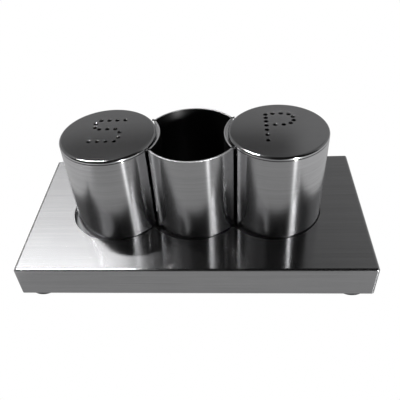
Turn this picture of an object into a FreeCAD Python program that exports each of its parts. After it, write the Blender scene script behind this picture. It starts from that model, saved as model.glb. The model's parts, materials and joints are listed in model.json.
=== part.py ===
import FreeCAD
import Part
import math
import os

# Salt and pepper set on a low steel base. Millimetres, X along the length, Y to the back, Z up.
# The origin is on the table, under the middle of the base.

# Base box, folded from sheet
base_length = 161.0
base_depth = 84.0
base_height = 15.5
sheet = 0.8
bend_radius = 1.2

# Closing plate under the base
floor_plate_thickness = 0.8
floor_plate_recess = 0.4
floor_plate_gap = 0.2

# Rubber feet, their screws and the threaded posts above them
foot_stand = 3.0
foot_radius = 8.0
foot_taper = 0.3
foot_edge = 0.3
foot_inset = 9.0
screw_radius = 1.5
screw_length = 10.0
screw_head_radius = 2.75
screw_head_height = 1.5
screw_head_depth = 2.0
screw_slot_width = 0.8
screw_slot_depth = 0.7
post_radius = 3.5
post_bore_depth = 10.0
thread_gap = 0.05
hole_gap = 0.2

# The three vessels
vessel_radius = 21.7
vessel_pitch = 37.5
vessel_rise = 44.2
vessel_wall = 0.6

# Well in the base where the vessels stand, and how they stand in it
well_depth = 3.0
well_clearance = 1.6
well_side_gap = 0.5
well_front_gap = 1.1
well_tip_round = 1.2
pan_sheet = 0.6
pan_corner = 0.4
pan_heel = 0.8
pan_flange = 4.0

# Shaker cup, cap and plastic collar
cup_corner = 1.6
cap_height = 1.4
cap_round = 1.2
collar_flange = 0.4
collar_setback = 0.35
collar_wall = 1.1
collar_plug = 6.0
collar_step = 0.4
collar_gap = 0.07
cap_gap = 0.1
rib_height = 0.9
rib_places = (1.6, 4.0)

# Sprinkle holes, measured from the middle of the cap
hole_radius = 0.9
row_pitch = 3.75
salt_top_y = 11.2
salt_middle_y = 3.8
salt_bottom_y = -6.1
salt_bend_radius = 3.6
pepper_stem_x = -4.9
pepper_stem_top_y = 12.3
pepper_stem_pitch = 2.75
pepper_stem_growth = 1.09
pepper_bowl_radius = 4.7
pepper_bowl_x = 2.6

# Open holder between the shakers
holder_rise = 43.3
holder_wall = 0.8
holder_gap = 1.0
holder_corner = 0.8
holder_floor_lift = 0.4
weld_gap = 0.05

# Levels worked out from the sizes above
base_bottom = foot_stand
base_top = base_bottom + base_height
floor_plate_bottom = base_bottom + floor_plate_recess
floor_plate_top = floor_plate_bottom + floor_plate_thickness
well_floor = base_top - well_depth
vessel_top = base_top + vessel_rise
cap_bottom = vessel_top - cap_height
cup_top = cap_bottom - collar_flange
well_radius = vessel_radius + well_clearance
group_x = well_clearance - well_side_gap
group_y = -(well_clearance - well_front_gap)
salt_x = group_x - vessel_pitch
pepper_x = group_x + vessel_pitch
bore_radius = vessel_radius - vessel_wall
corners = {"front_left": (-1, -1), "front_right": (1, -1), "back_left": (-1, 1), "back_right": (1, 1)}


def vec(x, y, z):
    return FreeCAD.Vector(x, y, z)


def cylinder(radius, bottom, top, x=0.0, y=0.0):
    return Part.makeCylinder(radius, top - bottom, vec(x, y, bottom))


def centred_box(length, depth, bottom, top):
    return Part.makeBox(length, depth, top - bottom, vec(-length / 2, -depth / 2, bottom))


def upright_edges(solid):
    found = []
    for edge in solid.Edges:
        if len(edge.Vertexes) < 2:
            continue
        run = edge.Vertexes[1].Point - edge.Vertexes[0].Point
        if abs(run.z) > 0.1 and math.hypot(run.x, run.y) < 1e-4:
            found.append(edge)
    return found


def level_edges(solid, z):
    return [e for e in solid.Edges if abs(e.BoundBox.ZMin - z) < 1e-4 and abs(e.BoundBox.ZMax - z) < 1e-4]


def turned(points, x, y):
    # A solid of revolution about the upright line through x, y, from points (radius, z)
    outline = [vec(radius, 0, z) for radius, z in points]
    face = Part.Face(Part.makePolygon(outline + outline[:1]))
    solid = face.revolve(vec(0, 0, 0), vec(0, 0, 1), 360)
    solid.translate(vec(x, y, 0))
    return solid


def corner_middle(radius, z, side, lift, size):
    # Middle of a small rounded corner, which is made of two flats that meet there.
    # Its centre is at radius, z, and it bulges towards side and lift (each 1 or -1).
    reach = size * math.sqrt(0.5)
    return (radius + side * reach, z + lift * reach)


def foot_places():
    half_x = base_length / 2 - foot_inset
    half_y = base_depth / 2 - foot_inset
    return {name: (sx * half_x, sy * half_y) for name, (sx, sy) in corners.items()}


def lobed_prism(grow, bottom, top):
    # The well's outline, three overlapping discs in a row, grown by a distance
    body = cylinder(well_radius + grow, bottom, top)
    for side in (-1, 1):
        body = body.fuse(cylinder(well_radius + grow, bottom, top, side * vessel_pitch, 0))
    body = body.removeSplitter()
    tip_round = well_tip_round - grow
    if tip_round > 0.2:
        tips = [e for e in upright_edges(body) if abs(abs(e.Vertexes[0].X) - vessel_pitch / 2) < 1.0]
        body = body.makeFillet(tip_round, tips)
    return body


def base_cover():
    # Folded box, open below, with rounded bends and the three-lobed cut-out
    outer = centred_box(base_length, base_depth, base_bottom, base_top)
    outer = outer.makeFillet(bend_radius, upright_edges(outer) + level_edges(outer, base_top))
    inside_length = base_length - 2 * sheet
    inside_depth = base_depth - 2 * sheet
    inner = centred_box(inside_length, inside_depth, base_bottom - 1, base_top - sheet)
    inner_round = bend_radius - sheet
    inner = inner.makeFillet(inner_round, upright_edges(inner) + level_edges(inner, base_top - sheet))
    return outer.cut(inner).cut(lobed_prism(0, base_top - sheet - 1, base_top + 1))


def well_pan():
    # Pressed pan with a flange that is spot-welded under the cover
    flange_top = base_top - sheet
    flange_bottom = flange_top - pan_sheet
    flange = lobed_prism(pan_flange, flange_bottom, flange_top)
    tub = lobed_prism(pan_sheet, well_floor - pan_sheet, flange_top)
    tub = tub.makeChamfer(pan_heel, level_edges(tub, well_floor - pan_sheet))
    hollow = lobed_prism(0, well_floor, flange_top + 1)
    hollow = hollow.makeChamfer(pan_corner, level_edges(hollow, well_floor))
    return flange.fuse(tub).removeSplitter().cut(hollow)


def floor_plate():
    length = base_length - 2 * (sheet + floor_plate_gap)
    depth = base_depth - 2 * (sheet + floor_plate_gap)
    plate = centred_box(length, depth, floor_plate_bottom, floor_plate_top)
    plate = plate.makeFillet(bend_radius, upright_edges(plate))
    for x, y in foot_places().values():
        plate = plate.cut(cylinder(screw_radius + hole_gap, 0, floor_plate_top + 1, x, y))
    return plate


def post(x, y):
    # Threaded post, stud-welded under the cover
    body = cylinder(post_radius, floor_plate_top, base_top - sheet, x, y)
    bore = cylinder(screw_radius + thread_gap, floor_plate_top - 1, floor_plate_top + post_bore_depth, x, y)
    return body.cut(bore)


def foot(x, y):
    # Moulded rubber puck with a sunk seat for the screw head
    low = foot_radius - foot_taper
    bore = screw_radius + hole_gap
    seat = screw_head_radius + hole_gap
    outline = [(seat, 0), (low - foot_edge, 0), (low, foot_edge)]
    outline += [(foot_radius, floor_plate_bottom), (bore, floor_plate_bottom)]
    outline += [(bore, screw_head_depth), (seat, screw_head_depth)]
    return turned(outline, x, y)


def foot_screws():
    # Four pan-head screws, head down in the feet
    screws = []
    head_bottom = screw_head_depth - screw_head_height
    for x, y in foot_places().values():
        head = cylinder(screw_head_radius, head_bottom, screw_head_depth, x, y)
        head = head.makeChamfer(screw_head_height / 2, level_edges(head, head_bottom))
        shank = cylinder(screw_radius, screw_head_depth - 0.1, screw_head_depth + screw_length, x, y)
        screw = head.fuse(shank)
        corner = vec(x - screw_head_radius, y - screw_slot_width / 2, head_bottom - 1)
        slot = Part.makeBox(2 * screw_head_radius, screw_slot_width, 1 + screw_slot_depth, corner)
        screws.append(screw.cut(slot))
    return Part.makeCompound(screws)


def shaker_cup(x):
    # Drawn cup with a rounded heel
    heel = cup_corner
    inner_heel = cup_corner - vessel_wall
    floor_top = well_floor + vessel_wall
    outline = [(0, well_floor), (vessel_radius - heel, well_floor)]
    outline += [corner_middle(vessel_radius - heel, well_floor + heel, 1, -1, heel)]
    outline += [(vessel_radius, well_floor + heel), (vessel_radius, cup_top)]
    outline += [(bore_radius, cup_top), (bore_radius, floor_top + inner_heel)]
    outline += [(bore_radius - inner_heel, floor_top), (0, floor_top)]
    return turned(outline, x, group_y)


def hole_row(first_x, y, count):
    return [(first_x + i * row_pitch, y) for i in range(count)]


def hole_arc(x, y, radius, degrees):
    turns = [math.radians(d) for d in degrees]
    return [(x + radius * math.cos(a), y + radius * math.sin(a)) for a in turns]


def salt_holes():
    bend = salt_bend_radius
    upper_y = (salt_top_y + salt_middle_y) / 2
    lower_y = (salt_middle_y + salt_bottom_y) / 2
    spots = hole_row(-row_pitch * 1.28, salt_top_y, 4)
    spots += hole_arc(-bend, upper_y - 0.2, bend, (158, 212))
    spots += hole_row(-row_pitch * 1.2, salt_middle_y, 3)
    spots += hole_arc(2.4, lower_y, bend, (37, -34))
    spots += hole_row(-row_pitch * 1.95, salt_bottom_y, 4)
    return spots


def pepper_holes():
    spots = []
    y = pepper_stem_top_y
    pitch = pepper_stem_pitch
    for i in range(7):
        spots.append((pepper_stem_x, y))
        y -= pitch
        pitch *= pepper_stem_growth
    bowl_y = pepper_stem_top_y + 0.7 - pepper_bowl_radius
    spots += hole_row(-1.8, bowl_y + pepper_bowl_radius, 2)
    spots += hole_arc(pepper_bowl_x, bowl_y, pepper_bowl_radius, (55, 20, -17, -50))
    spots += hole_row(-1.2, bowl_y - pepper_bowl_radius, 2)
    return spots


def shaker_cap(x, spots):
    # Pressed cap with a rounded rim and the sprinkle holes through its top
    inner_round = cap_round - vessel_wall
    under = vessel_top - vessel_wall
    outline = [(0, under), (bore_radius - inner_round, under)]
    outline += [(bore_radius, under - inner_round), (bore_radius, cap_bottom)]
    outline += [(vessel_radius, cap_bottom), (vessel_radius, vessel_top - cap_round)]
    outline += [corner_middle(vessel_radius - cap_round, vessel_top - cap_round, 1, 1, cap_round)]
    outline += [(vessel_radius - cap_round, vessel_top), (0, vessel_top)]
    cap = turned(outline, x, group_y)
    for spot_x, spot_y in spots:
        cap = cap.cut(cylinder(hole_radius, under - 1, vessel_top + 1, x + spot_x, group_y + spot_y))
    return cap


def shaker_collar(x):
    # Plastic collar: a spigot glued into the cap, a thin flange in the seam and a ribbed plug
    outside = bore_radius - collar_step
    inside = outside - collar_wall
    plug_bottom = cup_top - collar_plug
    under = vessel_top - vessel_wall
    rim = bore_radius - cap_gap - (cap_round - vessel_wall)
    outline = [(inside, plug_bottom), (outside - 0.3, plug_bottom), (outside, plug_bottom + 0.3)]
    for place in reversed(rib_places):
        middle = cup_top - place
        outline += [(outside, middle - rib_height / 2)]
        outline += [(bore_radius - collar_gap, middle)]
        outline += [(outside, middle + rib_height / 2)]
    outline += [(outside, cup_top), (vessel_radius - collar_setback, cup_top)]
    outline += [(vessel_radius - collar_setback, cap_bottom), (rim, cap_bottom)]
    outline += [(rim, under), (inside, under)]
    return turned(outline, x, group_y)


def holder_outline(shrink, bottom, top):
    # A disc bitten on both sides by the shakers' circles, drawn in by a distance
    body = cylinder(vessel_radius - shrink, bottom, top, group_x, group_y)
    bite = vessel_radius + holder_gap + shrink
    for x in (salt_x, pepper_x):
        body = body.cut(cylinder(bite, bottom - 1, top + 1, x, group_y))
    corner = max(holder_corner - shrink, 0.3)
    return body.makeFillet(corner, upright_edges(body))


def holder_wall_strip():
    # Bent strip, closed by a weld
    top = base_top + holder_rise
    outer = holder_outline(0, well_floor, top)
    inner = holder_outline(holder_wall, well_floor - 1, top + 1)
    return outer.cut(inner)


def holder_floor():
    bottom = well_floor + holder_floor_lift
    return holder_outline(holder_wall + weld_gap, bottom, bottom + holder_wall)


def build():
    parts = {"base_cover": base_cover(), "well_pan": well_pan(), "floor_plate": floor_plate()}
    for name, (x, y) in foot_places().items():
        parts["post_" + name] = post(x, y)
        parts["foot_" + name] = foot(x, y)
    parts["foot_screws"] = foot_screws()
    for name, x, spots in (("salt", salt_x, salt_holes()), ("pepper", pepper_x, pepper_holes())):
        parts[name + "_cup"] = shaker_cup(x)
        parts[name + "_cap"] = shaker_cap(x, spots)
        parts[name + "_collar"] = shaker_collar(x)
    parts["holder_wall"] = holder_wall_strip()
    parts["holder_floor"] = holder_floor()
    return parts


os.makedirs("parts", exist_ok=True)
for node, shape in build().items():
    box = shape.BoundBox
    print(node, len(shape.Solids), "valid", shape.isValid(), "volume", round(shape.Volume, 2),
          "z", round(box.ZMin, 2), round(box.ZMax, 2))
    shape.exportStep("parts/" + node + ".step")
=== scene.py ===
import json
import math
import bmesh
import bpy
from mathutils import Matrix, Vector


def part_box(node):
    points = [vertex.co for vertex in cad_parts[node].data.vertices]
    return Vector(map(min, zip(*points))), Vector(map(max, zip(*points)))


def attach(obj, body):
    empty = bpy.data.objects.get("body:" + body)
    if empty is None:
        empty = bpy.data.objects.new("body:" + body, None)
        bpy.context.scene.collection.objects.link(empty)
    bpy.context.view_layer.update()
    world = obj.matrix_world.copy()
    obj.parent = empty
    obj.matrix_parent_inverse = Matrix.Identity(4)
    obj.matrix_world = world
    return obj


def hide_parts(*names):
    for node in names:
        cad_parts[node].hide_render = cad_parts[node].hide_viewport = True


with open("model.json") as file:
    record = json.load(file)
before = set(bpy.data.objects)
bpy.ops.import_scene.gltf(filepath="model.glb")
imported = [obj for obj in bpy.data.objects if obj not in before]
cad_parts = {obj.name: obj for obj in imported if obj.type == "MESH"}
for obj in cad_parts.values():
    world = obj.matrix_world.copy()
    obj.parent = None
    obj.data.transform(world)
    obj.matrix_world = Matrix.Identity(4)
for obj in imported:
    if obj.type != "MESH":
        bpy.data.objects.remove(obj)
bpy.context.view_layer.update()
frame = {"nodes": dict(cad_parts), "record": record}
print("frame loaded")


# Small helpers for modelling

levelNormal = 0.9  # a level face's normal rises or falls by more than this
smoothAngle = 32  # edges that turn by more degrees stay crisp


def startFresh():
    bpy.ops.object.select_all(action="DESELECT")


def focusOn(piece):
    startFresh()
    piece.select_set(True)
    bpy.context.view_layer.objects.active = piece


def facesUp(face):
    return face.normal.z > levelNormal


def facesDown(face):
    return face.normal.z < -levelNormal


def pick(test, kind="FACE"):
    # Selects the faces or edges of the piece in edit mode that pass the test
    bpy.ops.mesh.select_mode(type=kind)
    bpy.ops.mesh.select_all(action="DESELECT")
    mesh = bpy.context.object.data
    work = bmesh.from_edit_mesh(mesh)
    for item in (work.faces if kind == "FACE" else work.edges):
        if test(item):
            item.select_set(True)
    bmesh.update_edit_mesh(mesh)


def reach(point, centre):
    return math.hypot(point.x - centre.x, point.y - centre.y)


def onRing(edge, centre, radius, level, slack=0.00005):
    # True for an edge that lies on a level circle about the centre
    return all(
        abs(v.co.z - level) < slack and abs(reach(v.co, centre) - radius) < slack
        for v in edge.verts
    )


def roundEdges(size, steps):
    bpy.ops.mesh.bevel(offset=size, segments=steps, profile=0.5, affect="EDGES")


def pushFaces(distance):
    bpy.ops.mesh.extrude_region_move(TRANSFORM_OT_translate={"value": (0, 0, distance)})


def roundBlank(name, sides, radius, height, middle):
    # A cylinder to start from, with its place in its mesh
    startFresh()
    bpy.ops.mesh.primitive_cylinder_add(vertices=sides, radius=radius, depth=height, location=middle)
    bpy.ops.object.transform_apply(location=True, rotation=True, scale=True)
    piece = bpy.context.object
    piece.name = name
    return piece


def addModifier(piece, kind, **values):
    modifier = piece.modifiers.new(kind.lower(), kind)
    for key, value in values.items():
        setattr(modifier, key, value)
    bpy.context.view_layer.objects.active = piece
    bpy.ops.object.modifier_apply(modifier=modifier.name)


def cutAway(piece, cutter):
    addModifier(piece, "BOOLEAN", operation="DIFFERENCE", object=cutter, solver="EXACT")
    bpy.data.objects.remove(cutter)


def smoothPiece(piece):
    focusOn(piece)
    bpy.ops.object.shade_smooth_by_angle(angle=math.radians(smoothAngle))
    addModifier(piece, "WEIGHTED_NORMAL", keep_sharp=True, weight=100)


def copyAlong(piece, name, shift):
    # A copy with its own mesh, moved inside that mesh
    twin = piece.copy()
    twin.data = piece.data.copy()
    twin.name = name
    bpy.context.collection.objects.link(twin)
    twin.data.transform(Matrix.Translation(shift))
    return twin


def centreOf(node):
    low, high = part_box(node)
    return (Vector(low) + Vector(high)) / 2


# Materials: the grain that all brushed steel shares

grainLook = {
    "fine": {"Scale": 1.0, "Detail": 2.0, "Roughness": 0.6},
    "wide": {"Scale": 0.27, "Detail": 2.0, "Roughness": 0.5},
    "drift": {"Scale": 55.0, "Detail": 2.0, "Roughness": 0.5},
    "wideShare": 0.45,
    "driftLow": 0.94,
    "driftSpan": 0.12,
    "glintTurn": 0.25,  # glints spread across the lines
    "levelPull": (0.02, 0, 0),  # the lines' direction where a face is level
}


def addNode(tree, kind, sockets=None, **settings):
    # Sockets go by name, or by number where several have the same name
    node = tree.nodes.new(kind)
    for key, value in settings.items():
        setattr(node, key, value)
    for key, value in (sockets or {}).items():
        node.inputs[key].default_value = value
    return node


def wire(tree, *pairs):
    for start, end in pairs:
        tree.links.new(start, end)


def brushedGrainGroup():
    # Fine and wide brush lines from a stretched place, and a slow drift of tone
    group = bpy.data.node_groups.new("brushedGrain", "ShaderNodeTree")
    group.interface.new_socket("Place", in_out="INPUT", socket_type="NodeSocketVector")
    group.interface.new_socket("Drift Place", in_out="INPUT", socket_type="NodeSocketVector")
    group.interface.new_socket("Contrast", in_out="INPUT", socket_type="NodeSocketFloat")
    group.interface.new_socket("Lines", in_out="OUTPUT", socket_type="NodeSocketFloat")
    group.interface.new_socket("Tone", in_out="OUTPUT", socket_type="NodeSocketFloat")
    enter = group.nodes.new("NodeGroupInput")
    leave = group.nodes.new("NodeGroupOutput")
    fine = addNode(group, "ShaderNodeTexNoise", grainLook["fine"])
    wide = addNode(group, "ShaderNodeTexNoise", grainLook["wide"])
    drift = addNode(group, "ShaderNodeTexNoise", grainLook["drift"])
    both = addNode(group, "ShaderNodeMix", {0: grainLook["wideShare"]}, data_type="FLOAT")
    less = addNode(group, "ShaderNodeMath", {1: 0.5}, operation="SUBTRACT")
    scaled = addNode(group, "ShaderNodeMath", operation="MULTIPLY")
    driftRange = {1: grainLook["driftSpan"], 2: grainLook["driftLow"]}
    drifted = addNode(group, "ShaderNodeMath", driftRange, operation="MULTIPLY_ADD")
    summed = addNode(group, "ShaderNodeMath", operation="ADD")
    wire(
        group,
        (enter.outputs["Place"], fine.inputs["Vector"]),
        (enter.outputs["Place"], wide.inputs["Vector"]),
        (enter.outputs["Drift Place"], drift.inputs["Vector"]),
        (fine.outputs["Fac"], both.inputs[2]),
        (wide.outputs["Fac"], both.inputs[3]),
        (both.outputs[0], less.inputs[0]),
        (less.outputs[0], scaled.inputs[0]),
        (enter.outputs["Contrast"], scaled.inputs[1]),
        (drift.outputs["Fac"], drifted.inputs[0]),
        (scaled.outputs[0], summed.inputs[0]),
        (drifted.outputs[0], summed.inputs[1]),
        (both.outputs[0], leave.inputs["Lines"]),
        (summed.outputs[0], leave.inputs["Tone"]),
    )
    return group


brushedGrain = brushedGrainGroup()


# Steel: the looks of each piece's sheet, then the material that all of them use

baseSteelLook = {
    "colour": (0.63, 0.63, 0.64),
    "roughness": 0.2,
    "anisotropy": 1.0,
    "lineScale": (25, 3000, 3000),
    "lineContrast": 0.5,
    "reliefDepth": 0.000002,
}
vesselSteelLook = {
    "colour": (0.63, 0.63, 0.64),
    "roughness": 0.14,
    "anisotropy": 1.0,
    "lineScale": (25, 25, 3000),
    "lineContrast": 0.4,
    "reliefDepth": 0.000002,
}
capSteelLook = {
    "colour": (0.6, 0.6, 0.61),
    "roughness": 0.13,
    "anisotropy": 0.0,
    "lineScale": (60, 2600, 2600),
    "lineContrast": 0.15,
    "reliefDepth": 0.000001,
}
pressedSteelLook = {
    "colour": (0.5, 0.5, 0.51),
    "roughness": 0.3,
    "anisotropy": 0.5,
    "lineScale": (80, 1800, 1800),
    "lineContrast": 0.2,
    "reliefDepth": 0.00001,
}
screwSteelLook = {
    "colour": (0.62, 0.62, 0.64),
    "roughness": 0.3,
    "anisotropy": 0.0,
    "lineScale": (900, 900, 900),
    "lineContrast": 0.25,
    "reliefDepth": 0.00001,
}
# Painted shade: near-black steel for the holder's inside, which is really the same steel as its
# outside
paintedShadeSteelLook = {
    "colour": (0.05, 0.05, 0.05),
    "roughness": 0.35,
    "anisotropy": 0.6,
    "lineScale": (40, 40, 6000),
    "lineContrast": 0.2,
    "reliefDepth": 0.000002,
}
# Rougher satin steel for the holder's rim, a little lighter than the wall's steel as a painted
# highlight
satinRimPaintedHighlightLook = {
    "colour": (0.66, 0.66, 0.67),
    "roughness": 0.42,
    "anisotropy": 0.0,
    "lineScale": (600, 600, 600),
    "lineContrast": 0.2,
    "reliefDepth": 0.000002,
}


def brushedSteel(name, look):
    # Brushed stainless steel. Its lines run along X on level faces and around upright ones.
    material = bpy.data.materials.new(name)
    material.use_nodes = True
    tree = material.node_tree
    shader = tree.nodes["Principled BSDF"]
    shader.inputs["Metallic"].default_value = 1.0
    shader.inputs["Roughness"].default_value = look["roughness"]
    shader.inputs["Anisotropic"].default_value = look["anisotropy"]
    shader.inputs["Anisotropic Rotation"].default_value = grainLook["glintTurn"]
    place = addNode(tree, "ShaderNodeTexCoord")
    stretch = addNode(tree, "ShaderNodeMapping", {"Scale": look["lineScale"]})
    contrast = {"Contrast": look["lineContrast"]}
    grain = addNode(tree, "ShaderNodeGroup", contrast, node_tree=brushedGrain)
    colour = {0: 1.0, 6: (*look["colour"], 1.0)}
    tint = addNode(tree, "ShaderNodeMix", colour, data_type="RGBA", blend_type="MULTIPLY")
    relief = addNode(tree, "ShaderNodeBump", {"Strength": 1.0, "Distance": look["reliefDepth"]})
    # The lines' direction: level and along the wall, or X where the face itself is level
    facing = addNode(tree, "ShaderNodeNewGeometry")
    around = addNode(tree, "ShaderNodeVectorMath", {1: (0, 0, 1)}, operation="CROSS_PRODUCT")
    along = addNode(tree, "ShaderNodeVectorMath", {1: grainLook["levelPull"]}, operation="ADD")
    wire(
        tree,
        (place.outputs["Object"], stretch.inputs["Vector"]),
        (stretch.outputs["Vector"], grain.inputs["Place"]),
        (place.outputs["Object"], grain.inputs["Drift Place"]),
        (grain.outputs["Tone"], tint.inputs[7]),
        (tint.outputs[2], shader.inputs["Base Color"]),
        (grain.outputs["Lines"], relief.inputs["Height"]),
        (relief.outputs["Normal"], shader.inputs["Normal"]),
        (facing.outputs["True Normal"], around.inputs[0]),
        (around.outputs[0], along.inputs[0]),
        (along.outputs[0], shader.inputs["Tangent"]),
    )
    return material


# Rubber and plastic

rubberLook = {
    "dark": (0.012, 0.012, 0.013),
    "light": (0.03, 0.03, 0.031),
    "roughness": 0.62,
    "roughnessDrift": 0.08,
    "gloss": 0.35,
    "poreScale": 2600.0,
    "poreDetail": 3.0,
    "poreDepth": 0.00005,
    "poreRelief": 0.25,
    "cloudScale": 90.0,
    "cloudDetail": 2.0,
}
collarLook = {
    "dark": (0.01, 0.01, 0.011),
    "light": (0.02, 0.02, 0.021),
    "roughness": 0.42,
    "roughnessDrift": 0.08,
    "gloss": 0.5,
    "poreScale": 1800.0,
    "poreDetail": 3.0,
    "poreDepth": 0.00002,
    "poreRelief": 0.25,
    "cloudScale": 120.0,
    "cloudDetail": 2.0,
}


def mattePolymer(name, look):
    # Matt rubber or plastic with a fine mould grain and clouds of a lighter tone
    material = bpy.data.materials.new(name)
    material.use_nodes = True
    tree = material.node_tree
    shader = tree.nodes["Principled BSDF"]
    shader.inputs["Specular IOR Level"].default_value = look["gloss"]
    place = addNode(tree, "ShaderNodeTexCoord")
    poreSize = {"Scale": look["poreScale"], "Detail": look["poreDetail"]}
    pores = addNode(tree, "ShaderNodeTexNoise", poreSize)
    cloudSize = {"Scale": look["cloudScale"], "Detail": look["cloudDetail"]}
    cloud = addNode(tree, "ShaderNodeTexNoise", cloudSize)
    tones = {6: (*look["dark"], 1.0), 7: (*look["light"], 1.0)}
    tone = addNode(tree, "ShaderNodeMix", tones, data_type="RGBA")
    smoothest = look["roughness"] - look["roughnessDrift"]
    roughest = look["roughness"] + look["roughnessDrift"]
    rough = addNode(tree, "ShaderNodeMapRange", {"To Min": smoothest, "To Max": roughest})
    poreHeight = {"Strength": look["poreRelief"], "Distance": look["poreDepth"]}
    relief = addNode(tree, "ShaderNodeBump", poreHeight)
    wire(
        tree,
        (place.outputs["Object"], pores.inputs["Vector"]),
        (place.outputs["Object"], cloud.inputs["Vector"]),
        (cloud.outputs["Fac"], tone.inputs[0]),
        (tone.outputs[2], shader.inputs["Base Color"]),
        (cloud.outputs["Fac"], rough.inputs["Value"]),
        (rough.outputs[0], shader.inputs["Roughness"]),
        (pores.outputs["Fac"], relief.inputs["Height"]),
        (relief.outputs["Normal"], shader.inputs["Normal"]),
    )
    return material


# The finish of each material slot

finishes = {
    "brushed_steel_lengthwise": brushedSteel("baseSteel", baseSteelLook),
    "brushed_steel_round": brushedSteel("vesselSteel", vesselSteelLook),
    "brushed_steel_cap": brushedSteel("capSteel", capSteelLook),
    "pressed_steel": brushedSteel("pressedSteel", pressedSteelLook),
    "plain_steel": brushedSteel("rolledSteel", pressedSteelLook),
    "screw_steel": brushedSteel("screwSteel", screwSteelLook),
    "rubber_feet": mattePolymer("footRubber", rubberLook),
    "collar_plastic": mattePolymer("collarPlastic", collarLook),
}
# The holder's inside gets painted shade, and its rim steel is a little lighter as a painted
# highlight
paintedShadeSteel = brushedSteel("paintedShadeSteel", paintedShadeSteelLook)
satinRimPaintedHighlightSteel = brushedSteel("satinRimPaintedHighlightSteel", satinRimPaintedHighlightLook)
slotOfNode = {part["node"]: part["material_slot"] for part in frame["record"]["subparts"]}


def finishPiece(piece, slot):
    piece.data.materials.clear()
    piece.data.materials.append(finishes[slot])


for nodeName, node in frame["nodes"].items():
    for materialSlot in node.material_slots:
        materialSlot.material = finishes[slotOfNode[nodeName]]
print("materials made")


# Shaker cups: drawn cups with a rounded heel

cup = {"sides": 192, "wall": 0.0006, "heel": 0.0016, "heelSteps": 7, "lip": 0.00015, "lipSteps": 2}


def shakerCup(label):
    low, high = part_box(label + "_cup")
    middle = centreOf(label + "_cup")
    radius = (high[0] - low[0]) / 2
    inside = radius - cup["wall"]
    height = high[2] - low[2]
    piece = roundBlank(label + "CupShell", cup["sides"], radius, height, middle)
    bpy.ops.object.mode_set(mode="EDIT")
    pick(facesUp)
    bpy.ops.mesh.inset(thickness=cup["wall"])
    pushFaces(cup["wall"] - height)
    pick(lambda edge: onRing(edge, middle, radius, low[2]), "EDGE")
    roundEdges(cup["heel"], cup["heelSteps"])
    pick(lambda edge: onRing(edge, middle, inside, low[2] + cup["wall"]), "EDGE")
    roundEdges(cup["heel"] - cup["wall"], cup["heelSteps"])
    pick(lambda edge: any(onRing(edge, middle, r, high[2]) for r in (radius, inside)), "EDGE")
    roundEdges(cup["lip"], cup["lipSteps"])
    bpy.ops.object.mode_set(mode="OBJECT")
    smoothPiece(piece)
    return piece


saltCup = shakerCup("salt")
pepperCup = copyAlong(saltCup, "pepperCupShell", centreOf("pepper_cup") - centreOf("salt_cup"))
for label, piece in (("salt", saltCup), ("pepper", pepperCup)):
    finishPiece(piece, "brushed_steel_round")
    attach(piece, label + "_shaker")
    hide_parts(label + "_cup")
print("cups modelled")


# Shaker caps: rounded rim, hollow below, sprinkle holes that form a letter

cap = {
    "sides": 192,
    "wall": 0.0006,
    "rim": 0.0012,
    "rimSteps": 8,
    "innerSteps": 3,
    "holeRadius": 0.00098,
    "holeSides": 24,
    "holeEdge": 0.00015,
    "holeEdgeSteps": 3,
    "holeSlack": 0.00003,
    "punchLength": 0.002,
    "punchDrop": 0.0003,
}
letters = {  # places of the holes from the middle of a cap, in metres, and bends in degrees
    "rowPitch": 0.00375,
    "saltTop": 0.0112,
    "saltTopStart": -0.0048,
    "saltMiddle": 0.0038,
    "saltMiddleStart": -0.0045,
    "saltBottom": -0.0061,
    "saltBottomStart": -0.0073125,
    "saltBend": 0.0036,
    "upperBend": (158, 212),
    "upperDrop": 0.0002,
    "lowerBend": (37, -34),
    "lowerX": 0.0024,
    "stemX": -0.0049,
    "stemTop": 0.0123,
    "stemHoles": 7,
    "stemPitch": 0.00275,
    "stemGrowth": 1.09,
    "bowl": 0.0047,
    "bowlX": 0.0026,
    "bowlRise": 0.0007,
    "bowlBend": (55, 20, -17, -50),
    "bowlTopStart": -0.0018,
    "bowlBottomStart": -0.0012,
}


def holeRow(firstX, y, count):
    return [(firstX + i * letters["rowPitch"], y) for i in range(count)]


def holeArc(x, y, radius, degrees):
    turns = [math.radians(d) for d in degrees]
    return [(x + radius * math.cos(a), y + radius * math.sin(a)) for a in turns]


def saltHoles():
    bend = letters["saltBend"]
    upperY = (letters["saltTop"] + letters["saltMiddle"]) / 2 - letters["upperDrop"]
    lowerY = (letters["saltMiddle"] + letters["saltBottom"]) / 2
    spots = holeRow(letters["saltTopStart"], letters["saltTop"], 4)
    spots += holeArc(-bend, upperY, bend, letters["upperBend"])
    spots += holeRow(letters["saltMiddleStart"], letters["saltMiddle"], 3)
    spots += holeArc(letters["lowerX"], lowerY, bend, letters["lowerBend"])
    spots += holeRow(letters["saltBottomStart"], letters["saltBottom"], 4)
    return spots


def pepperHoles():
    spots = []
    y, pitch = letters["stemTop"], letters["stemPitch"]
    for _ in range(letters["stemHoles"]):
        spots.append((letters["stemX"], y))
        y -= pitch
        pitch *= letters["stemGrowth"]
    bowl = letters["bowl"]
    bowlY = letters["stemTop"] + letters["bowlRise"] - bowl
    spots += holeRow(letters["bowlTopStart"], bowlY + bowl, 2)
    spots += holeArc(letters["bowlX"], bowlY, bowl, letters["bowlBend"])
    spots += holeRow(letters["bowlBottomStart"], bowlY - bowl, 2)
    return spots


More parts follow.
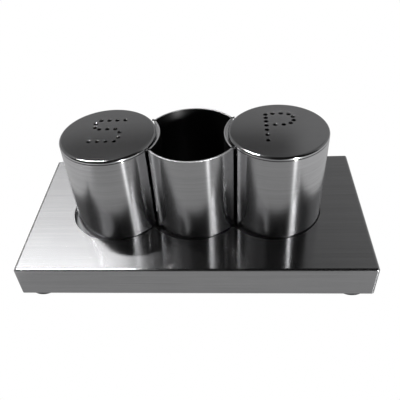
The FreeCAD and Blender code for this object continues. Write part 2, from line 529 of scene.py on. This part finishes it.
def capBlank(label):
    # A pressed cap before its holes are cut
    low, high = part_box(label + "_cap")
    middle = centreOf(label + "_cap")
    radius = (high[0] - low[0]) / 2
    inside = radius - cap["wall"]
    height = high[2] - low[2]
    piece = roundBlank(label + "CapShell", cap["sides"], radius, height, middle)
    bpy.ops.object.mode_set(mode="EDIT")
    pick(facesDown)
    bpy.ops.mesh.inset(thickness=cap["wall"])
    pushFaces(height - cap["wall"])
    pick(lambda edge: onRing(edge, middle, radius, high[2]), "EDGE")
    roundEdges(cap["rim"], cap["rimSteps"])
    pick(lambda edge: onRing(edge, middle, inside, high[2] - cap["wall"]), "EDGE")
    roundEdges(cap["rim"] - cap["wall"], cap["innerSteps"])
    bpy.ops.object.mode_set(mode="OBJECT")
    return piece


def punch(piece, label, spots):
    # Cuts the sprinkle holes and rounds their upper edges
    middle = centreOf(label + "_cap")
    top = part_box(label + "_cap")[1][2]
    centres = [Vector((middle.x + x, middle.y + y, top)) for x, y in spots]
    drop = Vector((0, 0, cap["punchDrop"]))
    pins = [
        roundBlank("pin", cap["holeSides"], cap["holeRadius"], cap["punchLength"], centre - drop)
        for centre in centres
    ]
    for pin in pins:
        pin.select_set(True)
    bpy.ops.object.join()
    cutAway(piece, bpy.context.object)
    focusOn(piece)
    bpy.ops.object.mode_set(mode="EDIT")

    def onHole(edge):
        return any(
            onRing(edge, centre, cap["holeRadius"], top, cap["holeSlack"]) for centre in centres
        )

    pick(onHole, "EDGE")
    roundEdges(cap["holeEdge"], cap["holeEdgeSteps"])
    bpy.ops.object.mode_set(mode="OBJECT")


saltCap = capBlank("salt")
pepperCap = copyAlong(saltCap, "pepperCapShell", centreOf("pepper_cap") - centreOf("salt_cap"))
for label, piece, spots in (("salt", saltCap, saltHoles()), ("pepper", pepperCap, pepperHoles())):
    punch(piece, label, spots)
    smoothPiece(piece)
    finishPiece(piece, "brushed_steel_cap")
    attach(piece, label + "_lid")
    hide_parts(label + "_cap")
print("caps modelled")


# Holder between the shakers: a round can bitten by both shakers' circles

can = {
    "sides": 192,
    "wall": 0.0008,
    "gap": 0.001,
    "corner": 0.001,
    "cornerSteps": 6,
    "cornerAngle": 40,  # sharper upright edges are rounded, in degrees
    "cornerRise": 0.001,  # an edge that rises less is level
    "rim": 0.0002,
    "rimSteps": 3,
    "rimAngle": 60,
    "rimNormal": 0.2,
    "slack": 0.00002,
    "biteHeight": 1.2,  # times the can's own
}


def paintShadeInsideAndRimHighlight(piece, middle):
    # Painted shade: the inner faces get near-black steel. The upward faces of the rim get a rougher
    # satin steel, a little lighter as a painted highlight
    piece.data.materials.append(paintedShadeSteel)
    piece.data.materials.append(satinRimPaintedHighlightSteel)
    for face in piece.data.polygons:
        inward = (face.center - middle).xy.dot(face.normal.xy) < 0
        if abs(face.normal.z) < levelNormal and inward:
            face.material_index = 1
        elif face.normal.z > can["rimNormal"]:
            face.material_index = 2


def holderCan():
    low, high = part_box("holder_wall")
    middle = centreOf("holder_wall")
    saltLow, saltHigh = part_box("salt_cup")
    radius = (saltHigh[0] - saltLow[0]) / 2
    height = high[2] - low[2]
    piece = roundBlank("holderShell", can["sides"], radius, height, middle)
    for node in ("salt_cup", "pepper_cup"):
        axis = centreOf(node)
        axis.z = middle.z
        tall = height * can["biteHeight"]
        cutAway(piece, roundBlank("bite", can["sides"], radius + can["gap"], tall, axis))
    focusOn(piece)
    bpy.ops.object.mode_set(mode="EDIT")

    def sharpUpright(edge):
        level = abs(edge.verts[0].co.z - edge.verts[1].co.z) < can["cornerRise"]
        return not level and edge.calc_face_angle(0) > math.radians(can["cornerAngle"])

    def onRim(edge):
        level = all(abs(v.co.z - high[2]) < can["slack"] for v in edge.verts)
        return level and edge.calc_face_angle(0) > math.radians(can["rimAngle"])

    pick(sharpUpright, "EDGE")
    roundEdges(can["corner"], can["cornerSteps"])
    pick(facesUp)
    bpy.ops.mesh.inset(thickness=can["wall"])
    pushFaces(-height)
    bpy.ops.mesh.delete(type="FACE")
    pick(facesDown)
    bpy.ops.mesh.inset(thickness=can["wall"])
    bpy.ops.mesh.delete(type="FACE")
    bpy.ops.mesh.select_all(action="SELECT")
    bpy.ops.mesh.remove_doubles(threshold=can["slack"])
    pick(onRim, "EDGE")
    roundEdges(can["rim"], can["rimSteps"])
    bpy.ops.object.mode_set(mode="OBJECT")
    smoothPiece(piece)
    finishPiece(piece, "brushed_steel_round")
    # Paints shade inside the holder and a highlight on its rim
    paintShadeInsideAndRimHighlight(piece, middle)
    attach(piece, "holder")
    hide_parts("holder_wall")


holderCan()
print("holder modelled")


# Camera at the photograph's place, turned in degrees, with its lens in millimetres

view = {
    "place": (0.018403, -0.188102, 0.180547),
    "turn": 7.296,
    "tilt": 47.81,
    "roll": -5.521,
    "lens": 45.04,
    "sensor": 36,
    "shiftX": 0.0375,
    "shiftY": 0.055,
    "near": 0.01,
    "far": 20,
}


def photoCamera():
    data = bpy.data.cameras.new("photoCamera")
    data.lens = view["lens"]
    data.sensor_width = view["sensor"]
    data.shift_x = view["shiftX"]
    data.shift_y = view["shiftY"]
    data.clip_start = view["near"]
    data.clip_end = view["far"]
    camera = bpy.data.objects.new("photoCamera", data)
    bpy.context.collection.objects.link(camera)
    camera.matrix_world = (
        Matrix.Translation(view["place"])
        @ Matrix.Rotation(math.radians(view["turn"]), 4, "Z")
        @ Matrix.Rotation(math.radians(view["tilt"]), 4, "X")
        @ Matrix.Rotation(math.radians(view["roll"]), 4, "Z")
    )
    bpy.context.scene.camera = camera


photoCamera()
print("camera placed")


# Floor: a pale sheet, darker in mirrors than it looks to the camera

floorLook = {
    "size": 6.0,
    "colour": (0.8, 0.8, 0.8),
    "seen": 1.0,
    "mirrored": 0.29,
    "mirroredAside": 0.5,
    "asideFrom": 0.085,
    "asideTo": 0.105,
}


def floorMaterial():
    material = bpy.data.materials.new("floorSheet")
    material.use_nodes = True
    tree = material.node_tree
    tree.nodes.clear()
    path = addNode(tree, "ShaderNodeLightPath")
    sheet = addNode(tree, "ShaderNodeBsdfDiffuse", {"Color": (*floorLook["colour"], 1)})
    seen = addNode(tree, "ShaderNodeEmission", {"Strength": floorLook["seen"]})
    # What mirrors see gets lighter beyond both ends of the base
    grey = addNode(tree, "ShaderNodeEmission")
    place = addNode(tree, "ShaderNodeTexCoord")
    split = addNode(tree, "ShaderNodeSeparateXYZ")
    aside = addNode(tree, "ShaderNodeMath", operation="ABSOLUTE")
    levels = {
        "From Min": floorLook["asideFrom"],
        "From Max": floorLook["asideTo"],
        "To Min": floorLook["mirrored"],
        "To Max": floorLook["mirroredAside"],
    }
    level = addNode(tree, "ShaderNodeMapRange", levels)
    first = addNode(tree, "ShaderNodeMixShader")
    second = addNode(tree, "ShaderNodeMixShader")
    out = addNode(tree, "ShaderNodeOutputMaterial")
    wire(
        tree,
        (place.outputs["Object"], split.inputs[0]),
        (split.outputs["X"], aside.inputs[0]),
        (aside.outputs[0], level.inputs["Value"]),
        (level.outputs[0], grey.inputs["Strength"]),
        (path.outputs["Is Glossy Ray"], first.inputs[0]),
        (sheet.outputs[0], first.inputs[1]),
        (grey.outputs[0], first.inputs[2]),
        (path.outputs["Is Camera Ray"], second.inputs[0]),
        (first.outputs[0], second.inputs[1]),
        (seen.outputs[0], second.inputs[2]),
        (second.outputs[0], out.inputs["Surface"]),
    )
    return material


def floorSheet():
    startFresh()
    bpy.ops.mesh.primitive_plane_add(size=floorLook["size"], location=(0, 0, 0))
    floor = bpy.context.object
    floor.name = "floorSheet"
    floor.data.materials.append(floorMaterial())


# Surroundings: what the camera, matt faces and mirrors see beyond the floor

skyLook = {
    "seen": 1.25,
    "diffuse": 0.8,
    "backLow": 0.25,
    "backBar": 0.0,
    "backLeft": 0.17,
    "backMiddle": 0.12,
    "backRight": 0.14,
    "frontFarLeft": 0.28,
    "frontBand": 0.03,
    "frontLeft": 0.05,
    "frontDark": 0.004,
    "overhead": 0.005,
    "sideWindow": 0.8,
    "barSlant": -0.055,
    "frontEdge": (-0.05, 0.05),  # how far a direction points forward, from back to front
    "windowEdge": (-0.52, -0.42),  # how far it points right, from the window's inside to its outside
}
skySteps = {  # where each soft step between two tones starts and ends, in degrees
    "barStart": (-26, -21),
    "barEnd": (7, 10),
    "barBottom": (31.8, 32.6),
    "barTop": (34.1, 34.9),
    "backMiddle": (-18, 2),
    "backRight": (8, 24),
    "frontBand": (-92, -84),
    "frontLeft": (-62, -52),
    "frontDark": (-30, -12),
    "overhead": (55, 65),
    "windowSill": (52, 58),
}


def studioWorld():
    world = bpy.data.worlds.new("softStudio")
    world.use_nodes = True
    bpy.context.scene.world = world
    tree = world.node_tree
    tree.nodes.clear()
    place = addNode(tree, "ShaderNodeTexCoord")
    split = addNode(tree, "ShaderNodeSeparateXYZ")
    azimuth = addNode(tree, "ShaderNodeMath", operation="ARCTAN2")
    elevation = addNode(tree, "ShaderNodeMath", operation="ARCSINE")
    forward = addNode(tree, "ShaderNodeMath", {1: -1.0}, operation="MULTIPLY")
    frontAngle = addNode(tree, "ShaderNodeMath", operation="ARCTAN2")
    slant = addNode(tree, "ShaderNodeMath", {1: skyLook["barSlant"]}, operation="MULTIPLY_ADD")
    wire(
        tree,
        (place.outputs["Generated"], split.inputs[0]),
        (split.outputs["X"], azimuth.inputs[0]),
        (split.outputs["Y"], azimuth.inputs[1]),
        (split.outputs["Z"], elevation.inputs[0]),
        (split.outputs["Y"], forward.inputs[0]),
        (split.outputs["X"], frontAngle.inputs[0]),
        (forward.outputs[0], frontAngle.inputs[1]),
        (azimuth.outputs[0], slant.inputs[0]),
        (elevation.outputs[0], slant.inputs[2]),
    )
    sideways, up, barUp = azimuth.outputs[0], elevation.outputs[0], slant.outputs[0]
    fromFront = frontAngle.outputs[0]

    def ramp(source, span, kind="SMOOTHSTEP", falling=False):
        # Rises from 0 to 1 over the span, or falls from 1 to 0
        first, last = (1.0, 0.0) if falling else (0.0, 1.0)
        sockets = {"From Min": span[0], "From Max": span[1], "To Min": first, "To Max": last}
        node = addNode(tree, "ShaderNodeMapRange", sockets, interpolation_type=kind)
        wire(tree, (source, node.inputs["Value"]))
        return node.outputs[0]

    def step(source, name, falling=False):
        return ramp(source, [math.radians(d) for d in skySteps[name]], falling=falling)

    def blend(factor, first, second):
        node = addNode(tree, "ShaderNodeMix", data_type="FLOAT")
        for number, value in ((0, factor), (2, first), (3, second)):
            if isinstance(value, (int, float)):
                node.inputs[number].default_value = value
            else:
                wire(tree, (value, node.inputs[number]))
        return node.outputs[0]

    def times(first, second):
        node = addNode(tree, "ShaderNodeMath", operation="MULTIPLY")
        wire(tree, (first, node.inputs[0]), (second, node.inputs[1]))
        return node.outputs[0]

    # Behind the object: grey below, a short black bar, and darker grey above
    barSpan = times(step(sideways, "barStart"), step(sideways, "barEnd", falling=True))
    bar = blend(barSpan, skyLook["backLow"], skyLook["backBar"])
    high = blend(step(sideways, "backMiddle"), skyLook["backLeft"], skyLook["backMiddle"])
    high = blend(step(sideways, "backRight"), high, skyLook["backRight"])
    back = blend(step(barUp, "barBottom"), skyLook["backLow"], bar)
    back = blend(step(barUp, "barTop"), back, high)
    # In front: grey far to the left, then dark, and almost black in the middle and on the right
    front = blend(step(fromFront, "frontBand"), skyLook["frontFarLeft"], skyLook["frontBand"])
    front = blend(step(fromFront, "frontLeft"), front, skyLook["frontLeft"])
    front = blend(step(fromFront, "frontDark"), front, skyLook["frontDark"])
    ahead = ramp(forward.outputs[0], skyLook["frontEdge"], "LINEAR")
    glossy = blend(ahead, back, front)
    # Dark overhead, with a window high up on the left
    glossy = blend(step(up, "overhead"), glossy, skyLook["overhead"])
    left = ramp(split.outputs["X"], skyLook["windowEdge"], falling=True)
    window = times(left, step(up, "windowSill"))
    glossy = blend(window, glossy, skyLook["sideWindow"])
    path = addNode(tree, "ShaderNodeLightPath")
    level = blend(path.outputs["Is Glossy Ray"], skyLook["diffuse"], glossy)
    level = blend(path.outputs["Is Camera Ray"], level, skyLook["seen"])
    sky = addNode(tree, "ShaderNodeBackground")
    out = addNode(tree, "ShaderNodeOutputWorld")
    wire(tree, (level, sky.inputs["Strength"]), (sky.outputs[0], out.inputs["Surface"]))


# Lamps: a long strip high behind on the left and a small disc low in front on the right

lamps = {
    "stripLamp": {
        "shape": "RECTANGLE",
        "direction": (-0.387, 0.22, 0.9),
        "distance": 2.5,
        "size": (0.94, 0.08),
        "power": 38.0,
    },
    "frontLamp": {
        "shape": "DISK",
        "direction": (0.56, -0.83, 0.1),
        "distance": 2.5,
        "size": (0.24, 0.24),
        "power": 90.0,
    },
}


def aimed(direction, distance):
    # Stands off along a direction and looks back, with its long side level along X
    back = Vector(direction).normalized()
    side = (Vector((1, 0, 0)) - back * back.x).normalized()
    turned = Matrix((side, back.cross(side), back)).transposed().to_4x4()
    return Matrix.Translation(back * distance) @ turned


def studioLamp(name):
    values = lamps[name]
    data = bpy.data.lights.new(name, "AREA")
    data.shape = values["shape"]
    data.size, data.size_y = values["size"]
    data.energy = values["power"]
    lamp = bpy.data.objects.new(name, data)
    bpy.context.collection.objects.link(lamp)
    lamp.matrix_world = aimed(values["direction"], values["distance"])


floorSheet()
studioWorld()
for lampName in lamps:
    studioLamp(lampName)
bpy.context.scene.view_settings.view_transform = "Standard"
bpy.context.scene.cycles.blur_glossy = 0.0  # keeps reflections of reflections crisp
print("studio set")
